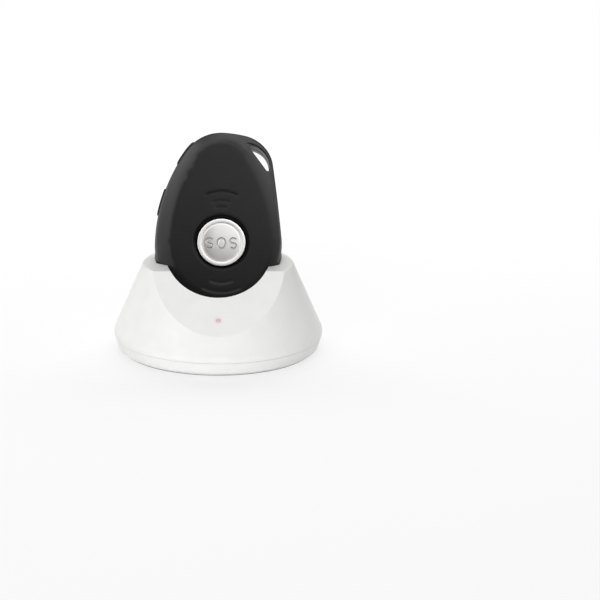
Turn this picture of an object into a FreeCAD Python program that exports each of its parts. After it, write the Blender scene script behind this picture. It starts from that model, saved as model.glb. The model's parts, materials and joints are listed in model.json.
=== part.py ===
import FreeCAD, Part
import math
import os
from FreeCAD import Placement, Rotation, Vector

# A pendant call tracker standing in its conical charging dock.
# All sizes are millimetres and degrees. +Z is up, the front faces -Y, and the origin is on the
# table, on the dock's axis. The tracker is drawn upright in its own frame, with its face towards
# -Y and its outline in XZ, and is then leaned back and lowered into the dock by seat_tracker().

# Tracker outline: three round lobes joined by large tangent arcs
lower_lobe_radius = 22.0
strap_lobe_x = 7.85
strap_lobe_z = 28.0
strap_lobe_radius = 11.35
crown_lobe_x = 1.0
crown_lobe_z = 25.25
crown_lobe_radius = 14.75
right_side_radius = 1200.0
top_side_radius = 75.0
left_side_radius = 61.0

# Tracker face: an egg-shaped plateau inside the outline, ringed by a sloping flank
flank_left = 4.1
flank_right = 1.9
flank_top = 3.9
flank_angle = 42.0
face_upper_radius = 10.0
face_side_radius = 52.5
front_depth = 8.0
rear_depth = 8.0
crown_rise = 0.85
crown_radius = 400.0
crown_peak_z = 8.5
ridge_bevel_angle = 22.0
ridge_bevel_depth = 0.45
shoulder_bevel = 1.1
rear_rounding = 4.0
rear_flats = 4
parting_y = 3.0
tracker_wall = 1.8
seam_gap = 0.1

# Call button, in the middle of the lower lobe
button_radius = 8.25
button_gap = 0.2
button_thickness = 2.1
button_sink = 0.1
button_travel = 0.4
button_rim_width = 1.25
button_groove_width = 0.35
button_groove_depth = 0.4
button_dome_rise = 0.22
dish_width = 1.35
dish_depth = 1.3
well_floor = 1.2
well_wall = 1.2
plunger_radius = 2.0
seal_width = 1.3
seal_height = 0.7
sliding_gap = 0.15
stop_gap = 0.05

# Ripple grooves pressed into the face above and below the button: crest distance from the
# button's axis, arc radius, half width
groove_half_width = 0.55
groove_depth = 0.35
upper_ripples = [(17.8, 11.6, 5.5), (14.6, 8.4, 3.2), (12.3, 6.1, 1.9)]
lower_ripples = [(14.1, 8.5, 3.85), (17.3, 13.6, 6.6)]

# Strap slot: a half moon between the rim and a straight chord
strap_rim = 1.65
strap_slot_width = 3.65
strap_slot_radius = 7.7
strap_slot_shift = 1.2
strap_slot_direction = 36.4
strap_slot_corner = 0.5
strap_wall = 1.3

# Side keys, on the left edge
key_length = 9.6
key_width = 3.8
key_corner = 1.3
key_proud = 0.55
key_y = 0.2
key_travel = 0.3
key_flange = 0.55
key_flange_overhang = 0.6
key_nub_radius = 0.7
key_nub_length = 0.6
lower_key_z = 15.7
upper_key_z = 33.2
side_switch_length = 4.2
side_switch_depth = 2.0

# Inside the tracker
board_front_y = -2.2
board_thickness = 0.8
board_edge_gap = 1.6
boss_radius = 2.6
boss_neck_radius = 1.7
lower_screw_inset = 6.3
lower_screw_angle = 32.7
upper_screw_x = -8.5
upper_screw_z = 24.0
screw_radius = 0.8
screw_head_radius = 1.45
screw_head_height = 1.0
screw_sink = 0.4
screw_depth = 7.0
hole_gap = 0.15
thread_gap = 0.02
call_switch_side = 6.0
call_switch_height = 0.7
switch_dome_radius = 1.7
switch_dome_height = 0.4
battery_bottom_z = -14.2
battery_height = 31.0
battery_thickness = 5.4
pad_inset = 1.5
pad_thickness = 1.2
modem_width = 13.4
modem_height = 9.8
modem_thickness = 2.3
modem_x = 1.15
modem_z = 22.5
patch_side = 11.0
patch_thickness = 2.8
patch_x = 1.2
patch_z = 23.5
aerial_radius = 16.3
aerial_width = 1.2
aerial_height = 1.6
aerial_half_angle = 41.0
sim_x = -10.0
sim_z = 10.6
sim_holder_width = 10.6
sim_holder_height = 12.6
sim_holder_thickness = 1.4
sim_card_width = 8.8
sim_card_height = 12.3
sim_card_thickness = 0.67
speaker_x = 11.5
speaker_z = 13.5
speaker_width = 7.5
speaker_height = 11.0
speaker_thickness = 2.5
microphone_z = -12.5
microphone_width = 3.8
microphone_height = 3.0
microphone_thickness = 1.1
motor_x = 15.2
motor_z = 5.0
motor_radius = 4.0
motor_thickness = 2.7
gasket_inset = 0.3
gasket_thickness = 0.4

# Charging contacts, a row of pads low on the tracker's back, and the dock's sprung pins
contact_count = 2
contact_pitch = 4.0
contact_z = -16.4
contact_radius = 1.0
contact_sink = 0.05
pin_radius = 0.55
pin_length = 2.5
pin_travel = 0.5
barrel_radius = 0.95
barrel_length = 5.6
barrel_start = 0.6
carrier_width = 10.0
carrier_height = 5.6
carrier_thickness = 3.5

# How the tracker stands in the dock
tracker_lean = 25.0
tracker_seat_height = 34.9
tracker_seat_back = 3.95
pocket_gap = 0.35
pocket_wall = 1.8

# Dock: a cone above a crease, on a base that tapers in, with a flat facet across the front
base_foot_radius = 34.8
base_flare = 1.8
base_bottom = 0.4
base_edge_bevel = 0.8
crease_height = 6.5
crease_rounding = 3.0
crease_flats = 3
dock_height = 30.5
dock_top_radius = 25.9
dock_top_rounding = 1.0
rim_flats = 4
seam_height = 4.9
dock_wall = 2.2
facet_top_distance = 12.9
facet_angle = 39.5
facet_rounding = 0.5
window_radius = 18.2
window_z = -2.8
window_wall = 1.8
window_back_y = -5.0
dock_boss_inset = 9.6
dock_boss_radius = 3.0
dock_screw_radius = 1.1
dock_screw_head_radius = 2.2
dock_screw_head_height = 1.2
dock_screw_length = 9.0
base_floor = 2.2
base_lip_height = 1.4
base_lip_width = 1.2
foot_ring_inset = 0.5
foot_ring_width = 3.5
weight_side_gap = 4.0
weight_front_y = -13.0
weight_back_y = 17.0
weight_thickness = 2.0
dock_board_width = 24.0
led_margin = 2.5
board_back_gap = 2.1
dock_board_height = 7.0
dock_board_thickness = 1.2
dock_board_clearance = 0.3
post_radius = 2.2
post_pin_radius = 0.9
post_x = 9.0
post_y = -16.0
rest_width = 18.0
rest_depth = 1.6
rest_y = 20.0
lens_radius = 0.75
lens_drop = 20.1
lens_gap = 0.05
led_side = 1.6
led_height = 0.7
usb_width = 8.9
usb_height = 3.2
usb_length = 7.3
usb_wall = 0.35
usb_corner = 1.3
usb_tongue_width = 6.6
usb_tongue_height = 0.7
usb_recess = 2.53
usb_mouth_width = 12.4
usb_mouth_height = 6.6
usb_bezel = 1.2

ACROSS = Vector(1, 0, 0)
DEPTH = Vector(0, 1, 0)
UP = Vector(0, 0, 1)
FAR = 100.0
pick_gap = 0.001

board_rear_y = board_front_y + board_thickness
rear_start_y = parting_y + gasket_thickness
face_x = (flank_left - flank_right) / 2
face_lower_radius = lower_lobe_radius - (flank_left + flank_right) / 2
face_upper_z = crown_lobe_z + crown_lobe_radius - flank_top - face_upper_radius
outline_lobes = [(0.0, 0.0, lower_lobe_radius),
                 (strap_lobe_x, strap_lobe_z, strap_lobe_radius),
                 (crown_lobe_x, crown_lobe_z, crown_lobe_radius)]
outline_bridges = [right_side_radius, top_side_radius, left_side_radius]
face_lobes = [(face_x, 0.0, face_lower_radius), (face_x, face_upper_z, face_upper_radius)]
face_bridges = [face_side_radius, face_side_radius]

cap_top_y = button_sink - front_depth
cap_base_y = cap_top_y + button_thickness
well_radius = button_radius + button_gap
well_floor_y = cap_base_y + button_travel + sliding_gap
well_under_y = well_floor_y + well_floor
dish_radius = well_radius + dish_width
switch_top_y = board_front_y - call_switch_height - switch_dome_height
plunger_end_y = switch_top_y - button_travel - stop_gap
screw_head_y = rear_depth - screw_sink - screw_head_height
lower_screw_reach = lower_lobe_radius - lower_screw_inset
lower_screw_x = lower_screw_reach * math.cos(math.radians(lower_screw_angle))
lower_screw_z = -lower_screw_reach * math.sin(math.radians(lower_screw_angle))
screw_places = [(-lower_screw_x, lower_screw_z), (lower_screw_x, lower_screw_z),
                (upper_screw_x, upper_screw_z)]
crease_radius = base_foot_radius + base_flare
contact_places = [(contact_pitch * (i - (contact_count - 1) / 2), contact_z)
                  for i in range(contact_count)]


# General shapes

def cylinder(x, z, radius, y0, y1):
    """A round bar along the depth direction, from y0 to y1."""
    return Part.makeCylinder(radius, y1 - y0, Vector(x, y0, z), DEPTH)


def upright(x, y, radius, z0, z1):
    """A round bar along Z, from z0 to z1."""
    return Part.makeCylinder(radius, z1 - z0, Vector(x, y, z0), UP)


def block(x, z, width, height, y0, y1, corner=0.0):
    """A plate centred on (x, z) in the outline plane, with rounded corners."""
    plate = Part.makeBox(width, y1 - y0, height, Vector(x - width / 2, y0, z - height / 2))
    if corner > 0:
        along_depth = [e for e in plate.Edges if abs(e.tangentAt(0).y) > 0.9]
        plate = plate.makeFillet(corner, along_depth)
    return plate


def ring(x, z, inner, outer, y0, y1):
    return cylinder(x, z, outer, y0, y1).cut(cylinder(x, z, inner, y0, y1))


def lathe(points, axis=UP):
    """Spin a closed profile of (radius, height) points about an axis through the origin."""
    if axis == UP:
        corners = [Vector(r, 0, h) for r, h in points]
    else:
        corners = [Vector(r, h, 0) for r, h in points]
    face = Part.Face(Part.makePolygon(corners + corners[:1]))
    return face.revolve(Vector(0, 0, 0), axis, 360)


# Lobed outlines

def bridge_centre(first, second, radius):
    """Centre of the arc that touches two lobes from outside, on the right of first to second."""
    across, up = second[0] - first[0], second[1] - first[1]
    gap = math.hypot(across, up)
    reach_first, reach_second = radius - first[2], radius - second[2]
    along = (reach_first ** 2 - reach_second ** 2 + gap ** 2) / (2 * gap)
    aside = math.sqrt(reach_first ** 2 - along ** 2)
    return (first[0] + (across * along - up * aside) / gap,
            first[1] + (up * along + across * aside) / gap)


def outline_arc(centre, radius, start, end, y):
    if end <= start:
        end += 2 * math.pi
    points = [Vector(centre[0] + radius * math.cos(a), y, centre[1] + radius * math.sin(a))
              for a in (start, (start + end) / 2, end)]
    return Part.Arc(*points).toShape()


def lobed_wire(lobes, bridges, grow, y):
    """Tangent arcs round the lobes, moved outwards by grow, in the plane at depth y."""
    count = len(lobes)
    centres = [bridge_centre(lobes[i], lobes[(i + 1) % count], bridges[i]) for i in range(count)]

    def heading(centre, lobe):
        return math.atan2(lobe[1] - centre[1], lobe[0] - centre[0])

    edges = []
    for i, lobe in enumerate(lobes):
        after = lobes[(i + 1) % count]
        edges.append(outline_arc(lobe, lobe[2] + grow, heading(centres[i - 1], lobe),
                                 heading(centres[i], lobe), y))
        edges.append(outline_arc(centres[i], bridges[i] + grow, heading(centres[i], lobe),
                                 heading(centres[i], after), y))
    return Part.Wire(edges)


def outline_prism(grow, y0, y1):
    wire = lobed_wire(outline_lobes, outline_bridges, grow, y0)
    return Part.Face(wire).extrude(DEPTH * (y1 - y0))


def outline_ring(outer_grow, inner_grow, y0, y1):
    return outline_prism(outer_grow, y0, y1).cut(outline_prism(inner_grow, y0, y1))


def outline_stack(rows):
    """A solid through outlines grown by different amounts, given as (grow, y) rows."""
    wires = [lobed_wire(outline_lobes, outline_bridges, grow, y) for grow, y in rows]
    return Part.makeLoft(wires, True, True)


def rounded(before, corner, after, radius, steps):
    """Points that round a profile's corner with a radius, in short flats."""
    start, point, end = (Vector(p[0], p[1], 0) for p in (before, corner, after))
    back, ahead = (start - point).normalize(), (end - point).normalize()
    half = back.getAngle(ahead) / 2
    centre = point + (back + ahead).normalize() * (radius / math.sin(half))
    first = point + back * (radius / math.tan(half)) - centre
    turn = (math.pi - 2 * half) / steps
    if back.cross(ahead).z > 0:
        turn = -turn
    points = []
    for i in range(steps + 1):
        along, aside = math.cos(turn * i), math.sin(turn * i)
        points.append((centre.x + first.x * along - first.y * aside,
                       centre.y + first.x * aside + first.y * along))
    return points


# Tracker body form

def face_crown(inset):
    """The great ball whose skin is the face's crown."""
    hub = Vector(face_x, crown_radius - front_depth, crown_peak_z)
    return Part.makeSphere(crown_radius - inset, hub)


def egg_taper(angle, ridge_y, front_y, back_y):
    """The face egg, spreading backwards at an angle; it has its own size at ridge_y."""
    slope = math.tan(math.radians(angle))
    front = lobed_wire(face_lobes, face_bridges, (front_y - ridge_y) / slope, front_y)
    back = lobed_wire(face_lobes, face_bridges, (back_y - ridge_y) / slope, back_y)
    return Part.makeLoft([front, back], True, True)


def front_blank(inset):
    """The front half with its surfaces moved inwards by inset, before its edges are broken."""
    ridge_y = crown_rise - front_depth + inset / math.cos(math.radians(flank_angle))
    blank = outline_prism(-inset, -2 * front_depth, parting_y).common(face_crown(inset))
    flank = egg_taper(flank_angle, ridge_y, ridge_y - 2 * crown_rise, 2 * rear_depth)
    return blank.common(flank).removeSplitter().Solids[0]


def shoulder_edges(form):
    """Edges where the flank meets the upright side wall."""
    walls = [f for f in form.Faces
             if abs(f.BoundBox.YMax - parting_y) < pick_gap and f.BoundBox.YLength > pick_gap]
    return [e for f in walls for e in f.Edges if e.BoundBox.YMax < parting_y - pick_gap]


def front_form():
    """The front half, with its ridge and shoulder broken."""
    form = front_blank(0)
    form = form.makeChamfer(shoulder_bevel, shoulder_edges(form))
    band_y = crown_rise - front_depth + ridge_bevel_depth
    return form.common(egg_taper(ridge_bevel_angle, band_y, -front_depth - crown_rise, rear_depth))


def rear_form():
    """The rear half, its back edge rounded in short flats."""
    edge = rounded((0, rear_start_y), (0, rear_depth), (-2 * rear_rounding, rear_depth),
                   rear_rounding, rear_flats)
    return outline_stack([(0, rear_start_y)] + edge)


def rear_hollow():
    """The space in the rear half, one wall inside it."""
    floor_y = rear_depth - tracker_wall
    bevel = (rear_rounding - tracker_wall) * (2 - math.sqrt(2))
    return outline_stack([(-tracker_wall, rear_start_y), (-tracker_wall, floor_y - bevel),
                          (-tracker_wall - bevel, floor_y)])


def strap_region(chord_shift, rim_shift, y0, y1):
    """Half-moon prism in the strap lobe; shifts move its chord and its arc outwards."""
    crest = strap_lobe_radius - strap_rim
    chord = crest - strap_slot_width - chord_shift
    moon = cylinder(crest - strap_slot_radius, 0, strap_slot_radius + rim_shift, y0, y1)
    keep = Part.makeBox(FAR, y1 - y0, 2 * FAR, Vector(chord, y0, -FAR))
    moon = moon.common(keep)
    moon.translate(UP * -strap_slot_shift)
    moon.rotate(Vector(0, 0, 0), DEPTH, -strap_slot_direction)
    moon.translate(Vector(strap_lobe_x, 0, strap_lobe_z))
    return moon


def strap_slot():
    slot = strap_region(0, 0, -2 * front_depth, 2 * rear_depth)
    corners = [e for e in slot.Edges if e.Length > front_depth and isinstance(e.Curve, Part.Line)]
    return slot.makeFillet(strap_slot_corner, corners)


def strap_block():
    """What stays solid round the strap slot inside the tracker."""
    return strap_region(strap_wall, 2 * strap_rim, -2 * front_depth, 2 * rear_depth)


# Tracker front

def ripple(crest, radius, half_width, upwards):
    """One groove cutter: a V bar bent along an arc that crests at a distance from the button."""
    side = 1 if upwards else -1
    surface = (crest * side - crown_peak_z) ** 2 / (2 * crown_radius) - front_depth
    hub = Vector(face_x, surface, side * (crest - radius))
    half = math.degrees(math.asin(half_width / radius))
    middle, lip = hub + UP * side * radius, UP * 2 * groove_half_width
    corners = [middle + DEPTH * groove_depth, middle - DEPTH * groove_depth + lip,
               middle - DEPTH * groove_depth - lip]
    section = Part.Face(Part.makePolygon(corners + corners[:1]))
    section.rotate(hub, DEPTH, -half)
    return section.revolve(hub, DEPTH, 2 * half)


def button_well():
    """The space the button moves in, opening through a shallow dish."""
    well = cylinder(face_x, 0, well_radius, -2 * front_depth, well_floor_y)
    dish_floor = dish_depth - front_depth
    dish = Part.makeCone(well_radius, dish_radius, dish_depth, Vector(face_x, dish_floor, 0), -DEPTH)
    mouth = cylinder(face_x, 0, dish_radius, -2 * front_depth, -front_depth)
    passage = cylinder(face_x, 0, plunger_radius + sliding_gap, well_floor_y, well_under_y)
    seat = cylinder(face_x, 0, plunger_radius + sliding_gap + seal_width,
                    well_under_y - seal_height, well_under_y)
    return well.fuse([dish, mouth, passage, seat])


def front_boss(x, z):
    """A screw boss that rises from the front wall, shouldered to carry the board."""
    column = cylinder(x, z, boss_radius, -front_depth, board_front_y)
    neck = cylinder(x, z, boss_neck_radius, board_front_y, parting_y - seam_gap)
    return column.fuse(neck)


def screw_bore(x, z):
    return cylinder(x, z, screw_radius + thread_gap, screw_head_y - screw_depth - hole_gap, parting_y)


def front_housing():
    outer = front_form()
    inside = front_blank(tracker_wall).cut(strap_block())
    shell = outer.cut(inside)
    well_tube = cylinder(face_x, 0, well_radius + well_wall, tracker_wall - front_depth, well_under_y)
    bosses = [outer.common(front_boss(x, z)) for x, z in screw_places]
    shell = shell.fuse([well_tube] + bosses)
    cutters = [button_well(), strap_slot()]
    cutters += [screw_bore(x, z) for x, z in screw_places]
    cutters += [ripple(*arc, True) for arc in upper_ripples]
    cutters += [ripple(*arc, False) for arc in lower_ripples]
    cutters += [key_window(z) for z in (lower_key_z, upper_key_z)]
    return shell.cut(cutters).removeSplitter()


# Tracker rear

def screw_hole(x, z):
    head = cylinder(x, z, screw_head_radius + hole_gap, screw_head_y, 2 * rear_depth)
    shank = cylinder(x, z, screw_radius + hole_gap, parting_y - seam_gap, screw_head_y)
    return head.fuse(shank)


def rear_housing():
    shell = rear_form().cut(rear_hollow().cut(strap_block()))
    shell = shell.fuse([cylinder(x, z, boss_radius, parting_y, rear_depth - tracker_wall)
                        for x, z in screw_places])
    cutters = [screw_hole(x, z) for x, z in screw_places] + [strap_slot()]
    cutters += [cylinder(x, z, contact_radius + stop_gap, parting_y, 2 * rear_depth)
                for x, z in contact_places]
    return shell.cut(cutters).removeSplitter()


def housing_screw(x, z):
    head = cylinder(x, z, screw_head_radius, screw_head_y, screw_head_y + screw_head_height)
    shank = cylinder(x, z, screw_radius, screw_head_y - screw_depth, screw_head_y)
    return head.fuse(shank)


def housing_gasket():
    """A flat seal between the rims of the two halves, widened round the strap slot."""
    seal = outline_ring(-gasket_inset, -tracker_wall, parting_y, rear_start_y)
    tab = outline_prism(-gasket_inset, parting_y, rear_start_y).common(strap_block())
    return seal.fuse(tab).cut(strap_slot()).removeSplitter().Solids[0]


# Call button

def call_button_cap():
    """A turned metal cap: raised rim, fine groove, shallow dome."""
    rim_inner = button_radius - button_rim_width
    dome_edge = rim_inner - button_groove_width
    groove_y = cap_top_y + button_groove_depth
    bevel = button_groove_depth / 2
    cap = lathe([(0, cap_base_y), (button_radius, cap_base_y), (button_radius, cap_top_y + bevel),
                 (button_radius - bevel, cap_top_y), (rim_inner, cap_top_y), (rim_inner, groove_y),
                 (0, groove_y)], DEPTH)
    dome_y = groove_y - bevel
    ball_radius = (dome_edge ** 2 + button_dome_rise ** 2) / (2 * button_dome_rise)
    ball = Part.makeSphere(ball_radius, Vector(0, dome_y - button_dome_rise + ball_radius, 0))
    dome = cylinder(0, 0, dome_edge, cap_top_y - button_dome_rise, groove_y).common(ball)
    cap = cap.fuse(dome).removeSplitter()
    cap.translate(ACROSS * face_x)
    return cap


def call_button_plunger():
    return cylinder(face_x, 0, plunger_radius, cap_base_y, plunger_end_y)


def call_button_seal():
    return ring(face_x, 0, plunger_radius + stop_gap, plunger_radius + sliding_gap + seal_width - stop_gap,
                well_under_y - seal_height, well_under_y)


def call_switch():
    base = block(face_x, 0, call_switch_side, call_switch_side,
                 board_front_y - call_switch_height, board_front_y)
    return base.fuse(cylinder(face_x, 0, switch_dome_radius, switch_top_y, board_front_y))


# Side keys

def key_frame(z):
    """Place and tilt of a key on the left side arc, at height z."""
    centre = bridge_centre(outline_lobes[2], outline_lobes[0], left_side_radius)
    tilt = math.asin((z - centre[1]) / left_side_radius)
    place = Vector(centre[0] - left_side_radius * math.cos(tilt), key_y, z)
    return Placement(place, Rotation(DEPTH, math.degrees(tilt)))


def key_bar(z, length, width, corner, deep, shallow):
    """A round-cornered bar along the key's normal, between two depths below the outline."""
    bar = Part.makeBox(deep - shallow, width, length, Vector(shallow, -width / 2, -length / 2))
    if corner > 0:
        bar = bar.makeFillet(corner, [e for e in bar.Edges if abs(e.tangentAt(0).x) > 0.9])
    bar.Placement = key_frame(z)
    return bar


def key_window(z):
    return key_bar(z, key_length + 2 * sliding_gap, key_width + 2 * sliding_gap,
                   key_corner + sliding_gap, 2 * tracker_wall, -2 * tracker_wall)


def side_key(z):
    """A key plate that follows the outline, with a flange behind the wall and a nub."""
    half = key_width
    plate_root = tracker_wall + stop_gap
    plate = outline_ring(key_proud, -plate_root, key_y - half, key_y + half)
    plate = plate.common(key_bar(z, key_length, key_width, key_corner, 3 * tracker_wall, -2 * tracker_wall))
    flange = outline_ring(-plate_root, -plate_root - key_flange, key_y - half, key_y + half)
    flange = flange.common(key_bar(z, key_length + 2 * key_flange_overhang, key_width, 0,
                                   3 * tracker_wall, 0))
    nub_root = plate_root + key_flange / 2
    nub = Part.makeCylinder(key_nub_radius, plate_root + key_flange + key_nub_length - nub_root,
                            Vector(nub_root, 0, 0), ACROSS)
    nub.Placement = key_frame(z)
    return plate.fuse([flange, nub]).removeSplitter()


def side_switch(z):
    start = tracker_wall + stop_gap + key_flange + key_nub_length + key_travel + stop_gap
    height = 2 * (key_y - board_rear_y)
    body = Part.makeBox(side_switch_depth, height, side_switch_length,
                        Vector(start, -height / 2, -side_switch_length / 2))
    body.Placement = key_frame(z)
    return body


# Electronics of the tracker

def board_edge():
    return tracker_wall + board_edge_gap


def main_board():
    plate = outline_prism(-board_edge(), board_front_y, board_rear_y).cut(strap_block())
    holes = [cylinder(x, z, boss_neck_radius + hole_gap, board_front_y, board_rear_y)
             for x, z in screw_places]
    return plate.cut(holes)


def battery():
    width = 2 * (lower_screw_x - boss_radius - hole_gap)
    rear = rear_depth - tracker_wall - pad_thickness
    return block(0, battery_bottom_z + battery_height / 2, width, battery_height,
                 rear - battery_thickness, rear)


def battery_pad():
    width = 2 * (lower_screw_x - boss_radius - pad_inset)
    rear = rear_depth - tracker_wall
    return block(0, battery_bottom_z + battery_height / 2, width, battery_height - 2 * pad_inset,
                 rear - pad_thickness, rear)


def modem_module():
    return block(modem_x, modem_z, modem_width, modem_height, board_rear_y, board_rear_y + modem_thickness)


def satellite_patch():
    return block(patch_x, patch_z, patch_side, patch_side, board_front_y - patch_thickness, board_front_y)


def network_aerial():
    """A curved strip that stands on the board along its lower edge."""
    start = Vector(aerial_radius, board_front_y - aerial_height, 0)
    corners = [start, start + ACROSS * aerial_width, start + ACROSS * aerial_width + DEPTH * aerial_height,
               start + DEPTH * aerial_height]
    section = Part.Face(Part.makePolygon(corners + corners[:1]))
    section.rotate(Vector(0, 0, 0), DEPTH, 90 - aerial_half_angle)
    return section.revolve(Vector(0, 0, 0), DEPTH, 2 * aerial_half_angle)


def sim_holder():
    base = block(sim_x, sim_z, sim_holder_width, sim_holder_height,
                 board_front_y - sim_holder_thickness, board_front_y)
    return base.cut(sim_space(stop_gap))


def sim_space(gap):
    middle = board_front_y - sim_holder_thickness / 2
    half = sim_card_thickness / 2 + gap
    return block(sim_x, sim_z, sim_card_width + 2 * gap, sim_card_height + 2 * gap, middle - half, middle + half)


def sim_card():
    return sim_space(0)


def speaker():
    return block(speaker_x, speaker_z, speaker_width, speaker_height,
                 board_front_y - speaker_thickness, board_front_y)


def microphone():
    return block(face_x, microphone_z, microphone_width, microphone_height,
                 board_front_y - microphone_thickness, board_front_y)


def vibration_motor():
    return cylinder(motor_x, motor_z, motor_radius, board_rear_y, board_rear_y + motor_thickness)


def charge_contact(x, z):
    """A stud from the board to the back cover."""
    return cylinder(x, z, contact_radius, board_rear_y, rear_depth - contact_sink)


# Dock parts that line up with the tracker's back

def back_of_pocket():
    return rear_depth + pocket_gap


def spring_pin(x, z):
    tip = rear_depth
    return cylinder(x, z, pin_radius, tip, tip + pin_length)


def pin_barrel(x, z):
    start = rear_depth + barrel_start
    shell = cylinder(x, z, barrel_radius, start, start + barrel_length)
    bore = cylinder(x, z, pin_radius + stop_gap, start, rear_depth + pin_length + pin_travel + stop_gap)
    return shell.cut(bore)


def pin_carrier():
    front = back_of_pocket() + pocket_wall
    plate = block(0, contact_z, carrier_width, carrier_height, front, front + carrier_thickness)
    return plate.cut([cylinder(x, z, barrel_radius + thread_gap, front, front + carrier_thickness)
                      for x, z in contact_places])


def pin_holes():
    return [cylinder(x, z, barrel_radius + stop_gap, rear_depth, back_of_pocket() + pocket_wall)
            for x, z in contact_places]


# Dock body

def seat_tracker(shape):
    """Lean a shape from the tracker's frame back and lower it into the dock."""
    seated = shape.copy()
    seated.rotate(Vector(0, 0, 0), ACROSS, -tracker_lean)
    seated.translate(Vector(0, tracker_seat_back, tracker_seat_height))
    return seated


def taper_radius(z):
    """Outside radius of the band that tapers in below the crease."""
    share = (z - base_bottom) / (crease_height - base_bottom)
    return base_foot_radius + (crease_radius - base_foot_radius) * share


def cone_radius(z):
    """Outside radius of the cone above the crease."""
    share = (z - crease_height) / (dock_height - crease_height)
    return crease_radius + (dock_top_radius - crease_radius) * share


def facet_cutter(inset):
    """Everything in front of the facet, moved into the dock by inset."""
    cutter = Part.makeBox(2 * FAR, 2 * FAR, FAR, Vector(-FAR, -FAR, -inset))
    cutter.rotate(Vector(0, 0, 0), ACROSS, facet_angle)
    cutter.translate(Vector(0, -facet_top_distance, dock_height))
    return cutter


def dock_blank():
    """The solid outside form of the upper shell, with its facet."""
    seam_z = seam_height + seam_gap
    seam, crease = (taper_radius(seam_z), seam_z), (crease_radius, crease_height)
    rim, middle = (dock_top_radius, dock_height), (0, dock_height)
    blank = lathe([(0, seam_z), seam] + rounded(seam, crease, rim, crease_rounding, crease_flats)
                  + rounded(crease, rim, middle, dock_top_rounding, rim_flats) + [middle])
    blank = blank.cut(facet_cutter(0))
    tilt = math.radians(facet_angle)
    facet_normal = Vector(0, -math.sin(tilt), math.cos(tilt))
    facet = [f for f in blank.Faces
             if isinstance(f.Surface, Part.Plane) and f.normalAt(0, 0).dot(facet_normal) > 0.999][0]
    return blank.makeFillet(facet_rounding, facet.OuterWire.Edges)


def pocket_form(grow):
    """The tracker's own form, grown, standing where the tracker stands."""
    back = outline_prism(grow, parting_y, rear_depth + grow)
    return seat_tracker(front_blank(-grow).fuse(back))


def window_bar(grow):
    """The round bar that opens the facet towards the tracker's face."""
    return seat_tracker(cylinder(0, window_z, window_radius + grow, -FAR, window_back_y + grow))


def dock_cavity():
    """The hollow under the shell, clear of the pocket, the window and the bosses."""
    lean = dock_wall / math.cos(math.atan2(crease_radius - dock_top_radius, dock_height - crease_height))
    seam_z = seam_height + seam_gap
    ceiling = dock_height - dock_wall
    hollow = lathe([(0, seam_z), (taper_radius(seam_z) - lean, seam_z),
                    (crease_radius - lean, crease_height), (cone_radius(ceiling) - lean, ceiling),
                    (0, ceiling)])
    hollow = hollow.cut(facet_cutter(dock_wall))
    walls = [pocket_form(pocket_gap + pocket_wall), window_bar(window_wall)]
    walls.append(usb_frame(0))
    bosses = [upright(x, y, dock_boss_radius, 0, ceiling) for x, y in dock_boss_places()]
    return hollow.cut(walls + bosses)


def dock_boss_places():
    return [(side * (crease_radius - dock_boss_inset), 0) for side in (-1, 1)]


def base_floor_z():
    return base_bottom + base_floor


def dock_shell():
    shell = dock_blank().cut(dock_cavity())
    feet = [upright(x, y, dock_boss_radius, base_floor_z(), seam_height + dock_wall)
            for x, y in dock_boss_places()]
    shell = shell.fuse(feet)
    cutters = [pocket_form(pocket_gap), window_bar(0), lens_hole()]
    cutters += [usb_opening(usb_mouth_width, usb_mouth_height, usb_face_y()),
                usb_opening(usb_width + 2 * hole_gap, usb_height + 2 * hole_gap, usb_face_y() - 2 * usb_bezel)]
    cutters += [seat_tracker(hole) for hole in pin_holes()]
    cutters += [upright(x, y, dock_screw_radius + thread_gap, base_bottom,
                        dock_screw_top() + hole_gap) for x, y in dock_boss_places()]
    return shell.cut(cutters).removeSplitter()


def dock_screw_seat():
    return base_bottom + dock_screw_head_height


def dock_screw_top():
    return dock_screw_seat() + dock_screw_length


def dock_base():
    """The tapered band and floor, with a lip inside the shell, board rests and screw holes."""
    edge_z = base_bottom + base_edge_bevel
    lip_outer = taper_radius(seam_height) - dock_wall - 2 * sliding_gap
    lip_top = seam_height + base_lip_height
    base = lathe([(0, base_bottom), (base_foot_radius - base_edge_bevel, base_bottom),
                  (taper_radius(edge_z), edge_z), (taper_radius(seam_height), seam_height), (lip_outer, seam_height),
                  (lip_outer, lip_top), (lip_outer - base_lip_width, lip_top),
                  (lip_outer - base_lip_width, base_floor_z()), (0, base_floor_z())])
    posts = [Part.makeBox(rest_width, rest_depth, dock_board_height - base_floor_z(),
                          Vector(-rest_width / 2, rest_y - rest_depth / 2, base_floor_z()))]
    for x, y in post_places():
        posts.append(upright(x, y, post_radius, base_floor_z(), dock_board_height))
        posts.append(upright(x, y, post_pin_radius, base_floor_z(), dock_board_height + dock_board_thickness))
    base = base.fuse(posts)
    cutters = [usb_frame(sliding_gap)]
    for x, y in dock_boss_places():
        cutters.append(upright(x, y, dock_screw_radius + hole_gap, 0, base_floor_z()))
        cutters.append(upright(x, y, dock_screw_head_radius + hole_gap, 0, dock_screw_seat()))
    return base.cut(cutters).removeSplitter()


def dock_screw(x, y):
    head = upright(x, y, dock_screw_head_radius, base_bottom, dock_screw_seat())
    return head.fuse(upright(x, y, dock_screw_radius, base_bottom, dock_screw_top()))


def foot_ring():
    """A flat non-slip ring stuck under the base."""
    radius = base_foot_radius - base_edge_bevel - foot_ring_inset
    return upright(0, 0, radius, 0, base_bottom).cut(upright(0, 0, radius - foot_ring_width, 0, base_bottom))


def post_places():
    return [(side * post_x, post_y) for side in (-1, 1)]


def weight_plate():
    half = crease_radius - dock_boss_inset - dock_boss_radius - weight_side_gap
    return Part.makeBox(2 * half, weight_back_y - weight_front_y, weight_thickness,
                        Vector(-half, weight_front_y, base_floor_z()))


# Dock electronics

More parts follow.
